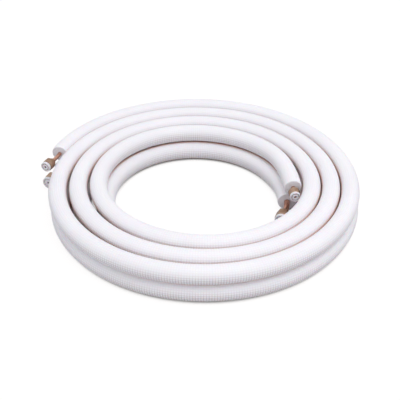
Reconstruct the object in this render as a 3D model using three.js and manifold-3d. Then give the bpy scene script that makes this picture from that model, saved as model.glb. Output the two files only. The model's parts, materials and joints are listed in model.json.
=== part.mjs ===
// Mini split line set: two soft copper pipes in foam sleeves, each wound into a flat open spiral
// and stacked, with a brass flare nut and a plastic sealing cap on all four pipe ends.
// Millimetres, +Z up. The coil lies flat: the gas line rests on the floor, the liquid line on it.
import * as THREE from "three";
import { mergeVertices } from "three/addons/utils/BufferGeometryUtils.js";
import Module from "manifold-3d";

const wasm = await Module();
wasm.setup();

// Driving sizes.
const COIL_RADIUS = 282.2; // outside of the lower line's first turn, at the start angle
const LIQUID = {
  name: "liquid",
  pipe: 6.35, // outside diameter, a quarter inch
  wall: 0.8,
  sleeve: 30, // outside diameter of the foam
  outside: COIL_RADIUS + 0.9, // outside of the first turn, at the start angle
  space: 3.8, // between one turn and the next
  inset: 0, // how far the innermost turn lies inside the wound pitch
  oval: [1.5, -43], // how far out the winding bulges, and at which plan angle and its opposite
  drift: [1, -30], // how far each further turn lies towards this plan angle
  ovalDrift: [1.5, -21], // how much more each further turn bulges
  flare: 9.1, // diameter of the flared pipe end
  nutFlats: 17, // across the flats
  nutLength: 18,
  neckLength: 5, // round back of the nut
  neck: 11.6,
  bareOuter: 26, // bare pipe between the foam and the nut, outer and inner ends
  bareInner: 5,
};
const GAS = {
  name: "gas",
  pipe: 9.52, // three eighths of an inch
  wall: 0.8,
  sleeve: 33,
  outside: COIL_RADIUS,
  space: 0.8,
  inset: 7.9,
  oval: [1.5, -43],
  drift: [0, 0],
  ovalDrift: [0, 0],
  flare: 13,
  nutFlats: 22,
  nutLength: 21,
  neckLength: 6,
  neck: 16,
  bareOuter: 22,
  bareInner: 30,
};
const START = 162; // plan angle where both spirals start, degrees, wound clockwise seen from above
const STEP = 18; // sweep between two stations of a spiral, degrees
const OUTER_BLEND = 30; // sweep taken by the free outer end, which is tucked in towards the coil
const INNER_BLEND = 30; // the same at the inner end, which springs out a little
const LAYER_GAP = 0.3; // between the two sleeves, and every other pair of touching faces
const FIT = 0.35; // pipe to sleeve, cap to nut thread
const CAP_FLANGE = 4.5; // thickness of the cap outside the nut
const CAP_OVER = 0.6; // how much wider than the nut's flats the cap is
const PLUG = 7.5; // depth of the cap inside the nut

// Where the sleeves end: plan angle, how far off the spiral, the way the pipe leaves, and how
// far it is bent halfway to the nut.
const ENDS = {
  liquid: {
    outer: { angle: 161.7, off: -6.5, heading: 257, bend: -12 },
    inner: { angle: -9.8, off: 1, heading: -88, bend: 0 },
    innerTurns: 3,
  },
  gas: {
    outer: { angle: 162.2, off: -6.8, heading: 249, bend: 0 },
    inner: { angle: -8.4, off: 7.9, heading: -96, bend: -13 },
    innerTurns: 3,
  },
};

const rad = THREE.MathUtils.degToRad;
const UP = new THREE.Vector3(0, 0, 1);

// A curve through fixed stations, so that a sleeve and its pipe bend at the same places.
class StationCurve extends THREE.Curve {
  constructor(stations) {
    super();
    this.stations = stations;
  }
  at(u) {
    return this.stations[Math.round(u * (this.stations.length - 1))];
  }
  getPointAt(u, target = new THREE.Vector3()) {
    return target.copy(this.at(u).point);
  }
  getTangentAt(u, target = new THREE.Vector3()) {
    return target.copy(this.at(u).tangent);
  }
}

// Stations of one line from its outer to its inner foam end, at height z.
function foamStations(line, z) {
  const balance = (1 + 1 / Math.cos(rad(STEP / 2))) / 2; // spreads the chord error to both sides
  const radiusAt = (sweep) => {
    const turn = sweep / 360;
    const late = THREE.MathUtils.smoothstep(turn, 2.55, 3.05);
    const wave = ([size, angle], lobes) => size * Math.cos(lobes * rad(START - sweep - angle));
    const growing = wave(line.drift, 1) + wave(line.ovalDrift, 2);
    const stray = wave(line.oval, 2) + (turn - 1.5) * growing;
    const middle = line.outside - line.sleeve / 2 - (line.sleeve + line.space) * turn;
    return middle - line.inset * late + stray;
  };
  const polar = (r, angle) =>
    new THREE.Vector3(r * Math.cos(rad(angle)), r * Math.sin(rad(angle)), z);
  const onSpiral = (sweep) => {
    const place = (s) => polar(radiusAt(s) * balance, START - s);
    return {
      point: place(sweep),
      tangent: place(sweep + 0.5).sub(place(sweep - 0.5)).normalize(),
    };
  };
  const freeEnd = (end, sweep, heading) => ({
    point: polar(radiusAt(sweep) + end.off, end.angle),
    tangent: new THREE.Vector3(Math.cos(rad(heading)), Math.sin(rad(heading)), 0),
  });
  const blend = (from, to, count) => {
    const reach = from.point.distanceTo(to.point) / 3;
    const bend = new THREE.CubicBezierCurve3(
      from.point,
      from.point.clone().addScaledVector(from.tangent, reach),
      to.point.clone().addScaledVector(to.tangent, -reach),
      to.point,
    );
    const out = [];
    for (let i = 0; i <= count; i++)
      out.push({ point: bend.getPoint(i / count), tangent: bend.getTangent(i / count) });
    return out;
  };
  const { outer, inner, innerTurns } = ENDS[line.name];
  const outerSweep = START - outer.angle;
  const innerSweep = START - inner.angle + 360 * innerTurns;
  const first = Math.ceil((outerSweep + OUTER_BLEND) / STEP) * STEP;
  const last = Math.floor((innerSweep - INNER_BLEND) / STEP) * STEP;
  const start = freeEnd(outer, outerSweep, outer.heading + 180);
  const finish = freeEnd(inner, innerSweep, inner.heading);
  const stations = blend(start, onSpiral(first), 3);
  for (let sweep = first + STEP; sweep < last; sweep += STEP) stations.push(onSpiral(sweep));
  stations.push(...blend(onSpiral(last), finish, 3));
  return stations;
}

// Closed outline of a regular polygon with flats facing along both axes.
function ring(radius, sides) {
  const points = [];
  for (let i = 0; i < sides; i++) {
    const a = ((i + 0.5) * 2 * Math.PI) / sides;
    points.push(new THREE.Vector2(radius * Math.cos(a), radius * Math.sin(a)));
  }
  return points;
}

function sweptTube(stations, outer, outerSides, inner, innerSides) {
  const shape = new THREE.Shape(ring(outer, outerSides));
  shape.holes.push(new THREE.Path(ring(inner, innerSides)));
  return new THREE.ExtrudeGeometry(shape, {
    steps: stations.length - 1,
    extrudePath: new StationCurve(stations),
    curveSegments: 1,
  });
}

function turned(profile, segments) {
  return new THREE.LatheGeometry(
    profile.map(([r, y]) => new THREE.Vector2(r, y)),
    segments,
  );
}

function solid(geometry) {
  const bare = geometry.clone();
  bare.deleteAttribute("normal");
  bare.deleteAttribute("uv");
  const merged = mergeVertices(bare, 1e-3);
  return new wasm.Manifold(
    new wasm.Mesh({
      numProp: 3,
      vertProperties: Float32Array.from(merged.attributes.position.array),
      triVerts: Uint32Array.from(merged.index.array),
    }),
  );
}

function geometryOf(body) {
  const mesh = body.getMesh();
  const geometry = new THREE.BufferGeometry();
  geometry.setAttribute("position", new THREE.BufferAttribute(mesh.vertProperties, 3));
  geometry.setIndex(new THREE.BufferAttribute(mesh.triVerts, 1));
  geometry.computeVertexNormals();
  return geometry;
}

// Sizes of the fitting that follow from the line's own.
const TURN = 12; // facets round a turned piece
const facet = Math.cos(Math.PI / TURN);
function fitting(line) {
  const corner = (line.pipe / 2) * 1.04; // corner of the eight-sided pipe
  const passage = (corner + LAYER_GAP) / facet;
  const flare = line.flare / 2;
  const thread = (flare + LAYER_GAP) / facet + 0.15;
  const seat = line.nutLength * 0.45; // where the 45 degree seat starts inside the nut
  const flareStart = seat + LAYER_GAP;
  const flareEnd = flareStart + flare - corner;
  return { corner, passage, flare, thread, seat, flareStart, flareEnd };
}

// The bare pipe from a foam end: its elbow, and the frame at the nut's back, whose y axis is the
// way the pipe leaves and whose z axis is up. The path runs inwards, so way is -1 at the outer end.
function bareEnd(station, way, bare, bend) {
  const heading = station.tangent.clone().multiplyScalar(way);
  const along = heading.clone().applyAxisAngle(UP, rad(bend));
  const elbow = station.point.clone().addScaledVector(heading, bare / 2);
  const across = new THREE.Vector3().crossVectors(along, UP);
  const origin = elbow.clone().addScaledVector(along, bare / 2);
  return {
    elbow: { point: elbow, tangent: heading.add(along).normalize().multiplyScalar(way) },
    tangent: along.clone().multiplyScalar(way),
    frame: new THREE.Matrix4().makeBasis(across, along, UP).setPosition(origin),
  };
}

function pipeGeometry(line, stations, ends, f) {
  const tip = ({ frame, tangent }) => ({
    point: new THREE.Vector3(0, f.flareStart + 0.3, 0).applyMatrix4(frame),
    tangent,
  });
  const { outer, inner } = ends;
  const path = [tip(outer), outer.elbow, ...stations, inner.elbow, tip(inner)];
  const bore = line.pipe / 2 - line.wall;
  const lip = [
    [bore + 0.15, f.flareStart - 1],
    [f.corner - 0.25, f.flareStart - 1],
    [f.corner - 0.25, f.flareStart - 0.25],
    [f.flare, f.flareEnd],
    [f.flare, f.flareEnd + 0.15],
    [f.flare - 0.95, f.flareEnd + 0.15],
    [bore + 0.15, f.flareStart + 0.3],
    [bore + 0.15, f.flareStart - 1],
  ];
  let body = solid(sweptTube(path, f.corner, 8, bore * 1.03, 6));
  for (const { frame } of [outer, inner])
    body = body.add(solid(turned(lip, TURN).applyMatrix4(frame)));
  return geometryOf(body);
}

function sleeveGeometry(line, stations, f) {
  const outer = line.sleeve / 2 / Math.cos(Math.PI / 12);
  const inner = (f.corner * Math.cos(Math.PI / 8) + FIT) / Math.cos(Math.PI / 8);
  return sweptTube(stations, outer, 12, inner, 8);
}

function nutGeometry(line, f) {
  const L = line.nutLength;
  const back = line.neckLength;
  const corner = line.nutFlats / 2 / Math.cos(Math.PI / 6);
  const face = (line.nutFlats / 2) * 0.97;
  const rise = (corner + 0.2 - face) * Math.tan(rad(30));
  const hex = new THREE.CylinderGeometry(corner, corner, L - back, 6, 1, false, Math.PI / 6);
  hex.translate(0, (L + back) / 2, 0);
  const chamfer = turned(
    [
      [0, back - 1],
      [face, back - 1],
      [face, back],
      [corner + 0.2, back + rise],
      [corner + 0.2, L - rise],
      [face, L],
      [face, L + 1],
      [0, L + 1],
    ],
    12,
  );
  const neck = new THREE.CylinderGeometry(line.neck / 2, line.neck / 2, back + 1, TURN);
  neck.translate(0, (back + 1) / 2, 0);
  const bore = turned(
    [
      [0, -1],
      [f.passage, -1],
      [f.passage, f.seat],
      [f.thread, f.seat + f.thread - f.passage],
      [f.thread, L + 1],
      [0, L + 1],
    ],
    TURN,
  );
  return geometryOf(solid(hex).intersect(solid(chamfer)).add(solid(neck)).subtract(solid(bore)));
}

// The cap plugs the nut's thread. Its face has a rim, a sunk ring, a boss and a small centre hole.
function capGeometry(line, f) {
  const plug = f.thread * facet - FIT;
  const R = (line.nutFlats + CAP_OVER) / 2;
  const back = line.nutLength + LAYER_GAP;
  const front = back + CAP_FLANGE;
  return turned(
    [
      [0, back - PLUG],
      [plug - 0.5, back - PLUG],
      [plug, back - PLUG + 0.8],
      [plug, back],
      [R, back],
      [R, front - 0.7],
      [R - 0.7, front],
      [R * 0.74, front],
      [R * 0.7, front - 1.6],
      [R * 0.5, front - 1.6],
      [R * 0.46, front],
      [R * 0.2, front],
      [R * 0.16, front - 2.4],
      [0, front - 2.4],
    ],
    TURN,
  );
}

const foam = new THREE.MeshStandardMaterial({ color: 0xf2f0f5, roughness: 0.75, metalness: 0 });
const copper = new THREE.MeshStandardMaterial({ color: 0xb4765a, roughness: 0.35, metalness: 1 });
const brass = new THREE.MeshStandardMaterial({ color: 0xa8875c, roughness: 0.35, metalness: 1 });
const plastic = new THREE.MeshStandardMaterial({ color: 0xe9e7ec, roughness: 0.5, metalness: 0 });

const lineSet = new THREE.Group();
function place(name, geometry, material, frame) {
  const mesh = new THREE.Mesh(geometry, material);
  mesh.name = name;
  if (frame) {
    mesh.quaternion.setFromRotationMatrix(frame);
    mesh.position.setFromMatrixPosition(frame);
  }
  lineSet.add(mesh);
}

const gasHeight = GAS.sleeve / 2;
const liquidHeight = GAS.sleeve + LAYER_GAP + LIQUID.sleeve / 2;
for (const [line, z] of [
  [GAS, gasHeight],
  [LIQUID, liquidHeight],
]) {
  const stations = foamStations(line, z);
  const start = stations[0];
  const finish = stations[stations.length - 1];
  const f = fitting(line);
  const { outer, inner } = ENDS[line.name];
  const ends = {
    outer: bareEnd(start, -1, line.bareOuter, outer.bend),
    inner: bareEnd(finish, 1, line.bareInner, inner.bend),
  };
  place(line.name + "_insulation", sleeveGeometry(line, stations, f), foam);
  place(line.name + "_pipe", pipeGeometry(line, stations, ends, f), copper);
  for (const [where, { frame }] of Object.entries(ends)) {
    place(line.name + "_nut_" + where, nutGeometry(line, f), brass, frame);
    place(line.name + "_cap_" + where, capGeometry(line, f), plastic, frame);
  }
}

// The frame's origin is under the middle of the whole set, at floor level.
lineSet.updateMatrixWorld(true);
const box = new THREE.Box3().setFromObject(lineSet, true);
const middle = box.getCenter(new THREE.Vector3());
lineSet.position.set(-middle.x, -middle.y, -box.min.z);
lineSet.updateMatrixWorld(true);

export default lineSet;
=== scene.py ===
"""Looks of the mini split line set: embossed foam sleeves, copper pipes, flare nuts and caps.

Sizes are in millimetres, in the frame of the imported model, and become metres where a mesh is made.
"""

import json
import math

import bpy
import numpy as np
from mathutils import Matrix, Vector


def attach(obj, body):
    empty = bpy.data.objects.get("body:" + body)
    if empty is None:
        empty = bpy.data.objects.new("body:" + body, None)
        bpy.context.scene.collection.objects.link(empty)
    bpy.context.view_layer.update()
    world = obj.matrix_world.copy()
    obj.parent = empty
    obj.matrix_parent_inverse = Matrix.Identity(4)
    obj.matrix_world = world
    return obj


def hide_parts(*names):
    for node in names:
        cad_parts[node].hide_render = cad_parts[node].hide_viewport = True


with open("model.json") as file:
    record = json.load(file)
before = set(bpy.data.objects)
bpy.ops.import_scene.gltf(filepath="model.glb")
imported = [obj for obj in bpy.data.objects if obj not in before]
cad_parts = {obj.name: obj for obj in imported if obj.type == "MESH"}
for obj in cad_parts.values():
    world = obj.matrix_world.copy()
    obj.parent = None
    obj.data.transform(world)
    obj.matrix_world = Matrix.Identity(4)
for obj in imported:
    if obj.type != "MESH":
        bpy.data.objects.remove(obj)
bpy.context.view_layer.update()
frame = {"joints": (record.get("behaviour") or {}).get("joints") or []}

MM = 0.001
UP = np.array([0.0, 0.0, 1.0])

# Both spirals: plan centre, start angle, and the sweeps in degrees where the free ends begin.
CENTRE = np.array([3.104, -9.311])
START = 162.0
FREE_FROM, FREE_TO = 36.0, 1206.0
STEADY_TURN = 1.5  # the turn where both drifts cross zero
INSET_FROM, INSET_OVER = 2.55, 0.5  # the turn from which a line moves in, and over how much of a turn

# Each line. An oval, a drift and an oval drift are a size and the plan angle where it is largest.
LINES = {
    "liquid": dict(
        pipe=6.35, wall=0.8, sleeve=30.0, height=48.3, radius=268.1, pitch=33.8, inset=0.0,
        oval=(1.5, -43.0), drift=(1.0, -30.0), oval_drift=(1.5, -21.0),
        flare=9.1, flats=17.0, nut=18.0, neck=11.6, neck_length=5.0,
        bare={"outer": 26.0, "inner": 5.0}, bend={"outer": -12.0, "inner": 0.0}, cells=25,
    ),
    "gas": dict(
        pipe=9.52, wall=0.8, sleeve=33.0, height=16.5, radius=265.7, pitch=33.8, inset=7.9,
        oval=(1.5, -43.0), drift=(0.0, 0.0), oval_drift=(0.0, 0.0),
        flare=13.0, flats=22.0, nut=21.0, neck=16.0, neck_length=6.0,
        bare={"outer": 22.0, "inner": 30.0}, bend={"outer": 0.0, "inner": -13.0}, cells=28,
    ),
}
GAP = 0.3  # between touching faces, as in the solids
FOAM_PLAY = 0.4  # between a pipe and the foam around it
SEAT_SHARE = 0.45  # how far into a nut its seat lies, as a share of the nut
CAP_FLANGE = 4.5
PLUG = 7.5
EMBOSS = 0.8  # depth of the grooves between the foam's cushions
RIM = 1.3  # rounding of the foam's cut ends


def smoothstep(x):
    x = np.clip(x, 0, 1)
    return x * x * (3 - 2 * x)


def joint(name):
    found = next(j for j in frame["joints"] if j["name"] == name)
    return np.array(found["pos_m"]) / MM, np.array(found["axis"], float)


def spiral(line, sweep):
    """Plan points of a line's middle at sweeps in degrees."""
    turn = sweep / 360
    angle = np.radians(START - sweep)

    def wave(name, lobes):
        size, at = line[name]
        return size * np.cos(lobes * (angle - math.radians(at)))

    stray = wave("oval", 2) + (turn - STEADY_TURN) * (wave("drift", 1) + wave("oval_drift", 2))
    late = smoothstep((turn - INSET_FROM) / INSET_OVER)
    r = line["radius"] - line["pitch"] * turn - line["inset"] * late + stray
    return CENTRE + np.stack([r * np.cos(angle), r * np.sin(angle)], -1)


def bezier(start, leave, end, arrive, count=60):
    reach = np.linalg.norm(end - start) / 3
    a, b, c, d = start, start + leave * reach, end - arrive * reach, end
    t = np.linspace(0, 1, count)[:, None]
    return (1 - t) ** 3 * a + 3 * t * (1 - t) ** 2 * b + 3 * t * t * (1 - t) * c + t**3 * d


def unit(v):
    return v / np.linalg.norm(v)


class Route:
    """The middle of a line, from one end to the other, by arc length."""

    def __init__(self, points, height):
        self.points = points
        self.height = height
        steps = np.linalg.norm(np.diff(points, axis=0), axis=1)
        self.arc = np.concatenate([[0], np.cumsum(steps)])
        self.length = self.arc[-1]
        self.way = np.gradient(points, self.arc, axis=0)
        self.way /= np.linalg.norm(self.way, axis=1)[:, None]

    def at(self, arc):
        """Points, and the level direction across the route, at arc lengths."""
        p = [np.interp(arc, self.arc, self.points[:, k]) for k in (0, 1)]
        w = [np.interp(arc, self.arc, self.way[:, k]) for k in (0, 1)]
        w = np.stack(w, -1)
        w /= np.linalg.norm(w, axis=-1, keepdims=True)
        points = np.stack([*p, np.full_like(arc, self.height)], -1)
        across = np.stack([w[:, 1], -w[:, 0], np.zeros(len(arc))], -1)
        return points, across

    def rings(self, arc, radii, angles):
        """Ring of points about the route for each arc length, with its own radius."""
        points, across = self.at(np.asarray(arc, float))
        radii = np.asarray(radii, float)[:, None, None]
        level = np.cos(angles)[None, :, None] * across[:, None, :]
        spokes = level + np.sin(angles)[None, :, None] * UP
        return points[:, None, :] + radii * spokes


def routes(name, line):
    """The route of the foam, and that of the pipe, which bends a little and goes into both nuts."""
    ends, bare = {}, {}
    for where in ("outer", "inner"):
        origin, axis = joint(f"{name}_nut_{where}_swivel")
        origin, axis = origin[:2], axis[:2]
        bend = math.radians(-line["bend"][where])
        cos, sin = math.cos(bend), math.sin(bend)
        turned = np.array([[cos, -sin], [sin, cos]]) @ axis
        half = line["bare"][where] / 2
        foam_end = origin - (axis + turned) * half
        ends[where] = foam_end, turned
        elbow = bezier(foam_end, turned, origin, axis, 20)
        in_nut = np.linspace(origin, origin + axis * flare_end(line), 12)
        bare[where] = np.concatenate([elbow, in_nut[1:]])
    sweeps = np.linspace(FREE_FROM, FREE_TO, 4000)
    turns = spiral(line, sweeps)
    (start, start_axis), (end, end_axis) = ends["outer"], ends["inner"]
    into = bezier(start, -start_axis, turns[0], unit(turns[1] - turns[0]))
    out = bezier(turns[-1], unit(turns[-1] - turns[-2]), end, end_axis)
    foam = np.concatenate([into[:-1], turns, out[1:]])
    pipe = np.concatenate([bare["outer"][:0:-1], foam, bare["inner"][1:]])
    return Route(foam, line["height"]), Route(pipe, line["height"])


def flare_end(line):
    """How far from the back of the nut the flared pipe ends."""
    return line["nut"] * SEAT_SHARE + GAP + line["flare"] / 2 - line["pipe"] / 2 * 1.04


def make_object(name, vertices, faces, materials, face_material=None, cells=None):
    mesh = bpy.data.meshes.new(name)
    mesh.from_pydata((np.asarray(vertices) * MM).tolist(), [], [list(f) for f in faces])
    for material in materials:
        mesh.materials.append(material)
    if face_material is not None:
        mesh.polygons.foreach_set("material_index", np.asarray(face_material, np.int32))
    if cells is not None:
        attribute = mesh.attributes.new("cell", "FLOAT_VECTOR", "CORNER")
        attribute.data.foreach_set("vector", np.asarray(cells, np.float32).ravel())
    mesh.polygons.foreach_set("use_smooth", np.ones(len(mesh.polygons), bool))
    mesh.update()
    obj = bpy.data.objects.new(name, mesh)
    bpy.context.scene.collection.objects.link(obj)
    return obj


def ring_faces(rows, count, closed=False):
    """Quads between successive rings of count points each."""
    last = rows if closed else rows - 1
    i, j = np.meshgrid(np.arange(last), np.arange(count), indexing="ij")
    ni, nj = (i + 1) % rows, (j + 1) % count
    quads = np.stack([i * count + j, ni * count + j, ni * count + nj, i * count + nj], -1)
    return quads.reshape(-1, 4)


def foam_sleeve(name, line, route, skin, cut):
    """A hollow foam sleeve whose skin is a net of small cushions, with cut ends."""
    outer = line["sleeve"] / 2
    bore = line["pipe"] / 2 + FOAM_PLAY
    around = line["cells"]
    cell = 2 * math.pi * outer / around
    along = round(route.length / cell)
    arc = np.linspace(0, route.length, along + 1)
    corner_angles = 2 * math.pi * (np.arange(around) + 0.5) / around
    middle_angles = corner_angles + math.pi / around
    radii = np.full(along + 1, outer - EMBOSS)
    radii[[0, -1]] = outer - RIM
    corners = route.rings(arc, radii, corner_angles)
    middle_radii = np.full(along, outer)
    middle_radii[[0, -1]] = outer - RIM * 0.25
    middles = route.rings((arc[:-1] + arc[1:]) / 2, middle_radii, middle_angles)

    face_radii = [outer - RIM - 1.2, (outer + bore) / 2, bore + 0.5, bore]
    bore_arc = np.concatenate([[1.0, 4.0], np.linspace(10, route.length - 10, 240),
                               route.length - np.array([4.0, 1.0])])
    start_face = route.rings(np.zeros(4), face_radii, corner_angles)
    end_face = route.rings(np.full(4, route.length), face_radii, corner_angles)
    inside = route.rings(bore_arc, np.full(len(bore_arc), bore), corner_angles)
    loop = np.concatenate([end_face, inside[::-1], start_face[::-1]])

    corner_count = (along + 1) * around
    i, j = np.meshgrid(np.arange(along), np.arange(around), indexing="ij")
    nj = (j + 1) % around
    a, b = i * around + j, (i + 1) * around + j
    c, d = (i + 1) * around + nj, i * around + nj
    m = corner_count + i * around + j
    zero = np.zeros(i.shape)
    # Each point of a cushion: its number in the mesh, and its place counted in cushions.
    point = {
        "a": (a, (i, j, zero)), "b": (b, (i + 1, j, zero)), "c": (c, (i + 1, j + 1, zero)),
        "d": (d, (i, j + 1, zero)), "m": (m, (i + 0.5, j + 0.5, zero)),
    }
    quarters = ("abm", "bcm", "cdm", "dam")
    triangles = [np.stack([point[k][0] for k in trio], -1) for trio in quarters]
    cells = [np.stack([np.stack(point[k][1], -1) for k in trio], 2) for trio in quarters]
    triangles = np.stack(triangles, 2).reshape(-1, 3)
    cells = np.stack(cells, 2).reshape(-1, 3)

    base = corner_count + along * around
    rows = len(loop)
    index = np.concatenate([np.arange(corner_count - around, corner_count),
                            base + np.arange(rows * around), np.arange(around)])
    quads = index[ring_faces(rows + 2, around)]
    vertices = np.concatenate([corners.reshape(-1, 3), middles.reshape(-1, 3), loop.reshape(-1, 3)])
    faces = [*triangles.tolist(), *quads.tolist()]
    face_material = np.concatenate([np.zeros(len(triangles)), np.ones(len(quads))])
    cells = np.concatenate([cells, np.full((len(quads) * 4, 3), 0.5)])
    obj = make_object(f"{name}_foam", vertices, faces, [skin, cut], face_material, cells)
    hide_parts(f"{name}_insulation")
    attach(obj, "coil")


def copper_pipe(name, line, route, material):
    """The whole pipe, hollow, with both ends flared."""
    outer = line["pipe"] / 2
    flare = line["flare"] / 2
    depth = flare - outer
    sides = 24
    spacing = 9  # between the rings along the pipe
    # From the rim of a flare inwards: place along the pipe, radius and wall.
    shape = [
        (0.0, flare - 0.15, 0.6), (0.15, flare, 0.85),
        (depth + 0.15, outer + 0.05, 0.9), (depth + 0.9, outer, 0.8),
    ]
    ends, radii, walls = np.array(shape).T
    middle = np.linspace(5.0, route.length - 5.0, int(route.length / spacing))
    arc = np.concatenate([ends, middle, route.length - ends[::-1]])
    outside = np.concatenate([radii, np.full(len(middle), outer), radii[::-1]])
    wall = np.concatenate([walls, np.full(len(middle), line["wall"]), walls[::-1]])
    angles = 2 * math.pi * np.arange(sides) / sides
    skin = route.rings(arc, outside, angles)
    inside = route.rings(arc, outside - wall, angles)[::-1]
    loop = np.concatenate([skin, inside])
    faces = ring_faces(len(loop), sides, closed=True)
    obj = make_object(f"{name}_copper", loop.reshape(-1, 3), faces, [material])
    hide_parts(f"{name}_pipe")
    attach(obj, "coil")


def placed(points, origin, axis):
    """Local points, y along the pipe and z up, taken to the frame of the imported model."""
    along = unit(axis)
    across = np.cross(along, UP)
    return origin + points[..., :1] * across + points[..., 1:2] * along + points[..., 2:] * UP


def hex_radius(angle, flats):
    """Distance to a hexagon's side, with its corners a little rounded."""
    off = (np.degrees(angle) + 30) % 60 - 30
    side = flats / 2 / np.cos(np.radians(off))
    corner = flats / 2 / math.cos(math.radians(30))
    blunt = corner - 0.02
    soft = 0.25
    return -soft * np.log(np.exp(-side / soft) + np.exp(-blunt / soft))


def flare_nut(name, where, line, material):
    """A hexagon nut with a neck for the pipe and a plain bore in place of its thread."""
    origin, axis = joint(f"{name}_nut_{where}_swivel")
    sides = 96
    angle = 2 * math.pi * np.arange(sides) / sides
    hexagon = hex_radius(angle, line["flats"])
    length, neck, back = line["nut"], line["neck"] / 2, line["neck_length"]
    corner = line["flats"] / 2 / math.cos(math.radians(30))
    face = line["flats"] / 2 * 0.97
    rise = (corner - face) * math.tan(math.radians(30))
    passage = line["pipe"] / 2 + 0.25
    thread = line["flare"] / 2 + 0.5
    seat = length * SEAT_SHARE

    def level(y, radius):
        r = np.minimum(hexagon, radius)
        return np.stack([r * np.sin(angle), np.full(sides, y), r * np.cos(angle)], -1)

    rows = [level(0, passage), level(0, neck - 0.6), level(0.15, neck - 0.2), level(0.6, neck)]
    rows += [level(back - 1.2, neck), level(back - 0.5, neck + 0.15), level(back - 0.1, neck + 0.6)]
    rows += [level(back, neck + 0.9), level(back + 0.02, face - 0.5)]
    steps = np.linspace(0, 1, 9)
    rows += [level(back + 0.1 + rise * t, face + (corner - face) * t) for t in steps]
    rows += [level(length - 0.1 - rise * t, face + (corner - face) * t) for t in steps[::-1]]
    rows += [level(length, face - 0.4), level(length, thread + 0.7), level(length - 0.6, thread)]
    rows += [level(seat + thread - passage, thread), level(seat, passage)]
    loop = placed(np.stack(rows), origin, axis)
    faces = ring_faces(len(rows), sides, closed=True)[:, ::-1]
    obj = make_object(f"{name}_flare_nut_{where}", loop.reshape(-1, 3), faces, [material])
    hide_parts(f"{name}_nut_{where}")
    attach(obj, f"{name}_{where}_fitting")


def lathe(name, profile, sides, origin, axis, material):
    """A turned piece from a profile of (radius, y) that starts and ends on the axis."""
    angle = 2 * math.pi * np.arange(sides) / sides
    sin, cos = np.sin(angle), np.cos(angle)
    rows = [np.stack([r * sin, np.full(sides, y), r * cos], -1) for r, y in profile[1:-1]]
    tips = [[0, profile[0][1], 0], [0, profile[-1][1], 0]]
    points = np.concatenate([*rows, tips])
    count = len(rows) * sides
    faces = ring_faces(len(rows), sides)[:, ::-1].tolist()
    for k in range(sides):
        n = (k + 1) % sides
        faces.append([count, k, n])
        faces.append([count + 1, count - sides + n, count - sides + k])
    return make_object(name, placed(points, origin, axis), faces, [material])


def sealing_cap(name, where, line, material):
    """A plastic cap: a plug in the nut, and a flange whose front has a ring groove and a small hole."""
    origin, axis = joint(f"{name}_nut_{where}_swivel")
    plug = line["flare"] / 2
    r = (line["flats"] + 0.6) / 2
    back = line["nut"] + GAP
    front = back + CAP_FLANGE
    profile = [
        # The plug.
        (0, back - PLUG), (plug - 0.9, back - PLUG), (plug - 0.2, back - PLUG + 0.3),
        (plug, back - PLUG + 1.2), (plug, back - 0.3), (plug + 0.3, back),
        # The flange's back and rim.
        (r - 0.5, back), (r - 0.12, back + 0.15), (r, back + 0.6),
        (r, front - 1.0), (r - 0.15, front - 0.4), (r - 0.7, front),
        # The groove in its front.
        (r * 0.84, front), (r * 0.81, front - 0.2), (r * 0.79, front - 2.0), (r * 0.76, front - 2.2),
        (r * 0.62, front - 2.2), (r * 0.59, front - 2.0), (r * 0.575, front - 0.25), (r * 0.55, front),
        # The hole in its middle.
        (r * 0.29, front), (r * 0.26, front - 0.25), (r * 0.24, front - 3.1),
        (r * 0.20, front - 3.4), (0, front - 3.4),
    ]
    sides = 72
    obj = lathe(f"{name}_seal_cap_{where}", profile, sides, origin, axis, material)
    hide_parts(f"{name}_cap_{where}")
    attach(obj, f"{name}_{where}_fitting")


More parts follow.
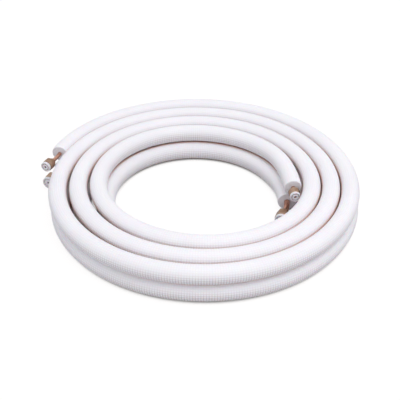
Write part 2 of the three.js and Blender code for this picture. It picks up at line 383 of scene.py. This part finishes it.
class Nodes:
    """A material and short ways to add and link its nodes."""

    def __init__(self, name):
        self.material = bpy.data.materials.new(name)
        self.material.use_nodes = True
        self.tree = self.material.node_tree
        self.tree.nodes.clear()
        self.shader = self.add("ShaderNodeBsdfPrincipled")
        output = self.add("ShaderNodeOutputMaterial")
        self.link(self.shader.outputs[0], output.inputs[0])

    def add(self, kind, **settings):
        node = self.tree.nodes.new(kind)
        for key, value in settings.items():
            setattr(node, key, value)
        return node

    def link(self, source, target):
        self.tree.links.new(source, target)

    def put(self, target, value):
        if isinstance(value, (int, float)):
            target.default_value = value
        elif isinstance(value, tuple):
            target.default_value = (*value, 1.0)[: len(target.default_value)]
        else:
            self.link(value, target)

    def math(self, operation, *values):
        node = self.add("ShaderNodeMath", operation=operation)
        for socket, value in zip(node.inputs, values):
            self.put(socket, value)
        return node.outputs[0]

    def ramp(self, value, low, high, to_low=0.0, to_high=1.0):
        node = self.add("ShaderNodeMapRange", interpolation_type="SMOOTHSTEP")
        for socket, v in zip(node.inputs, (value, low, high, to_low, to_high)):
            self.put(socket, v)
        return node.outputs[0]

    def mix(self, factor, a, b):
        """One colour turning into another. A mix node's colour sockets follow those for other data."""
        node = self.add("ShaderNodeMix", data_type="RGBA")
        colour_a, colour_b, colour_out = node.inputs[6], node.inputs[7], node.outputs[2]
        self.put(node.inputs[0], factor)
        self.put(colour_a, a)
        self.put(colour_b, b)
        return colour_out

    def noise(self, scale, detail=3.0):
        node = self.add("ShaderNodeTexNoise")
        self.link(self.add("ShaderNodeTexCoord").outputs["Object"], node.inputs["Vector"])
        self.put(node.inputs["Scale"], scale)
        self.put(node.inputs["Detail"], detail)
        return node.outputs[0]

    def openness(self, distance):
        """How open the surface is around a point: 0 deep in a gap, 1 in the open."""
        node = self.add("ShaderNodeAmbientOcclusion", samples=16)
        self.put(node.inputs["Distance"], distance)
        return node.outputs["AO"]

    def bump(self, height, distance, strength):
        node = self.add("ShaderNodeBump")
        self.put(node.inputs["Height"], height)
        self.put(node.inputs["Distance"], distance)
        self.put(node.inputs["Strength"], strength)
        return node.outputs[0]

    def set(self, **values):
        for key, value in values.items():
            self.put(self.shader.inputs[key.replace("_", " ")], value)


def foam_skin():
    """White foam skin: soft square cushions in rows, with painted shade in the creases that is darker on
    the sides than on top.

    Where the skin is closed in, between turns and on the ground, it takes a painted warm brown shade.
    """
    # The third colour is a painted shade for the creases; the fourth is a painted warm brown shade for
    # closed-in places.
    white, bright, painted_crease_shade, painted_gap_shade = (
        (0.905, 0.89, 0.92), (0.925, 0.91, 0.94), (0.62, 0.54, 0.55), (0.86, 0.56, 0.44))
    m = Nodes("foam_skin")
    cell = m.add("ShaderNodeSeparateXYZ")
    m.link(m.add("ShaderNodeAttribute", attribute_name="cell").outputs["Vector"], cell.inputs[0])
    sides = []
    for k in (0, 1):
        wave = m.math("ABSOLUTE", m.math("SINE", m.math("MULTIPLY", cell.outputs[k], math.pi)))
        sides.append(m.math("POWER", wave, 0.5))
    cushion = m.math("MULTIPLY", sides[0], sides[1])
    # Painted shade: the creases between the cushions are darkened in the colour.
    crease = m.ramp(cushion, 0.35, 0.85, 1.0, 0.0)
    grain = m.noise(900.0, 2.0)
    height = m.math("ADD", cushion, m.math("MULTIPLY", grain, 0.08))
    tone = m.mix(m.ramp(m.noise(14.0), 0.35, 0.7), white, bright)
    facing = m.add("ShaderNodeSeparateXYZ")
    m.link(m.add("ShaderNodeNewGeometry").outputs["Normal"], facing.inputs[0])
    # Painted shade: the crease darkening is stronger on sides that face sideways or down, and weaker on
    # top, as if lit from above.
    depth = m.ramp(facing.outputs[2], -0.3, 0.8, 0.75, 0.1)
    tone = m.mix(m.math("MULTIPLY", crease, depth), tone, painted_crease_shade)
    # Painted shade: warm brown where the skin is closed in, between turns and near the ground.
    m.set(Base_Color=m.mix(m.ramp(m.openness(0.02), 0.0, 0.42), painted_gap_shade, tone))
    m.set(Roughness=m.ramp(grain, 0.3, 0.7, 0.55, 0.7), Normal=m.bump(height, 0.0004, 0.5))
    m.set(Specular_IOR_Level=0.3, Subsurface_Weight=0.15, Subsurface_Scale=0.004)
    return m.material


def foam_cut():
    """Cut end of the foam, with fine open pores whose hollows are painted darker as shade."""
    m = Nodes("foam_cut")
    voronoi = m.add("ShaderNodeTexVoronoi")
    m.link(m.add("ShaderNodeTexCoord").outputs["Object"], voronoi.inputs["Vector"])
    voronoi.inputs["Scale"].default_value = 900.0
    pore = m.ramp(voronoi.outputs["Distance"], 0.1, 0.5)
    # Painted shade: the pore hollows are darker in the colour.
    m.set(Base_Color=m.mix(pore, (0.66, 0.64, 0.67), (0.82, 0.80, 0.83)), Roughness=0.8)
    m.set(Normal=m.bump(pore, 0.0004, 0.8))
    return m.material


def metal(name, dark, light, roughness, scale):
    """Drawn or machined metal with a light tarnish and fine marks."""
    m = Nodes(name)
    tarnish = m.noise(scale, 4.0)
    marks = m.noise(scale * 14, 2.0)
    m.set(Base_Color=m.mix(m.ramp(tarnish, 0.35, 0.65), dark, light), Metallic=1.0)
    m.set(Roughness=m.ramp(marks, 0.3, 0.7, roughness - 0.06, roughness + 0.08))
    m.set(Normal=m.bump(marks, 0.00006, 0.5))
    return m.material


def cap_plastic():
    """White moulded plastic, with a painted brownish shade in its groove and hole."""
    white, bright, painted_hollow_shade = (0.74, 0.72, 0.75), (0.80, 0.78, 0.81), (0.48, 0.33, 0.26)
    m = Nodes("cap_plastic")
    grain = m.noise(500.0, 2.0)
    tone = m.mix(m.ramp(grain, 0.3, 0.7), white, bright)
    # Painted shade: brownish where the cap is closed in, in its groove and hole.
    m.set(Base_Color=m.mix(m.ramp(m.openness(0.005), 0.15, 0.65), painted_hollow_shade, tone))
    m.set(Roughness=m.ramp(grain, 0.3, 0.7, 0.36, 0.46), Normal=m.bump(grain, 0.00005, 0.4))
    m.set(Subsurface_Weight=0.2, Subsurface_Scale=0.002)
    return m.material


def floor_material():
    """Pale paper that glows white where it is seen directly, as in a studio shot.

    The glow fades as a painted shade where the paper is closed in, and lights nothing else.
    """
    dim, pale, under_glow = (0.58, 0.58, 0.59), (0.60, 0.60, 0.61), (0.13, 0.12, 0.115)
    m = Nodes("floor")
    seen = m.add("ShaderNodeLightPath").outputs["Is Camera Ray"]
    paper = m.mix(m.ramp(m.noise(3.0), 0.3, 0.7), dim, pale)
    m.set(Base_Color=m.mix(seen, paper, under_glow), Roughness=0.9, Specular_IOR_Level=0.1)
    # Painted shade: the glow is taken away where the paper is closed in, near and under the coil and
    # between its turns.
    glow = m.math("MULTIPLY", seen, m.ramp(m.openness(0.03), 0.05, 0.4, 0.0, 0.9))
    m.set(Emission_Color=(1.0, 1.0, 1.0), Emission_Strength=glow)
    return m.material


def build():
    skin, cut = foam_skin(), foam_cut()
    copper = metal("copper", dark=(0.62, 0.31, 0.21), light=(0.80, 0.47, 0.35), roughness=0.3, scale=60.0)
    brass = metal("brass", dark=(0.38, 0.23, 0.15), light=(0.52, 0.35, 0.25), roughness=0.32, scale=80.0)
    plastic = cap_plastic()
    for name, line in LINES.items():
        foam_route, pipe_route = routes(name, line)
        foam_sleeve(name, line, foam_route, skin, cut)
        copper_pipe(name, line, pipe_route, copper)
        for where in ("outer", "inner"):
            flare_nut(name, where, line, brass)
            sealing_cap(name, where, line, plastic)


def stage():
    half = 14.0  # metres
    corners = [(-half, -half, 0), (half, -half, 0), (half, half, 0), (-half, half, 0)]
    mesh = bpy.data.meshes.new("floor")
    mesh.from_pydata(corners, [], [(0, 1, 2, 3)])
    mesh.materials.append(floor_material())
    floor = bpy.data.objects.new("floor", mesh)
    bpy.context.scene.collection.objects.link(floor)


def area_light(name, place, target, size, power):
    light = bpy.data.lights.new(name, "AREA")
    light.shape = "DISK"
    light.size = size
    light.energy = power
    obj = bpy.data.objects.new(name, light)
    obj.location = place
    obj.rotation_euler = (Vector(target) - Vector(place)).to_track_quat("-Z", "Y").to_euler()
    bpy.context.scene.collection.objects.link(obj)


def light():
    world = bpy.data.worlds.new("studio")
    world.use_nodes = True
    background = world.node_tree.nodes["Background"]
    background.inputs[0].default_value = (0.96, 0.97, 1.0, 1)
    background.inputs[1].default_value = 0.84
    bpy.context.scene.world = world
    area_light("key", place=(0.6, -0.8, 2.4), target=(0, 0, 0), size=1.6, power=19)
    bpy.context.scene.view_settings.view_transform = "Standard"


# The camera, in metres and photo pixels: how steeply it looks down, how far it stands,
# its focal length, the photo's width, and the point on the floor that it looks at.
ELEVATION = math.radians(34.84)
DISTANCE = 1.2485
FOCAL = 721.3
PHOTO = 400
SENSOR = 36
LOOK_AT = Vector((CENTRE[0] * MM + 0.0006, CENTRE[1] * MM + 0.0078, 0))


def camera():
    data = bpy.data.cameras.new("camera")
    data.sensor_width = SENSOR
    data.lens = SENSOR * FOCAL / PHOTO
    obj = bpy.data.objects.new("camera", data)
    back = Vector((0, -math.cos(ELEVATION), math.sin(ELEVATION)))
    obj.location = LOOK_AT + back * DISTANCE
    obj.rotation_euler = (-back).to_track_quat("-Z", "Y").to_euler()
    bpy.context.scene.collection.objects.link(obj)
    bpy.context.scene.camera = obj


build()
stage()
light()
camera()
bpy.context.view_layer.update()
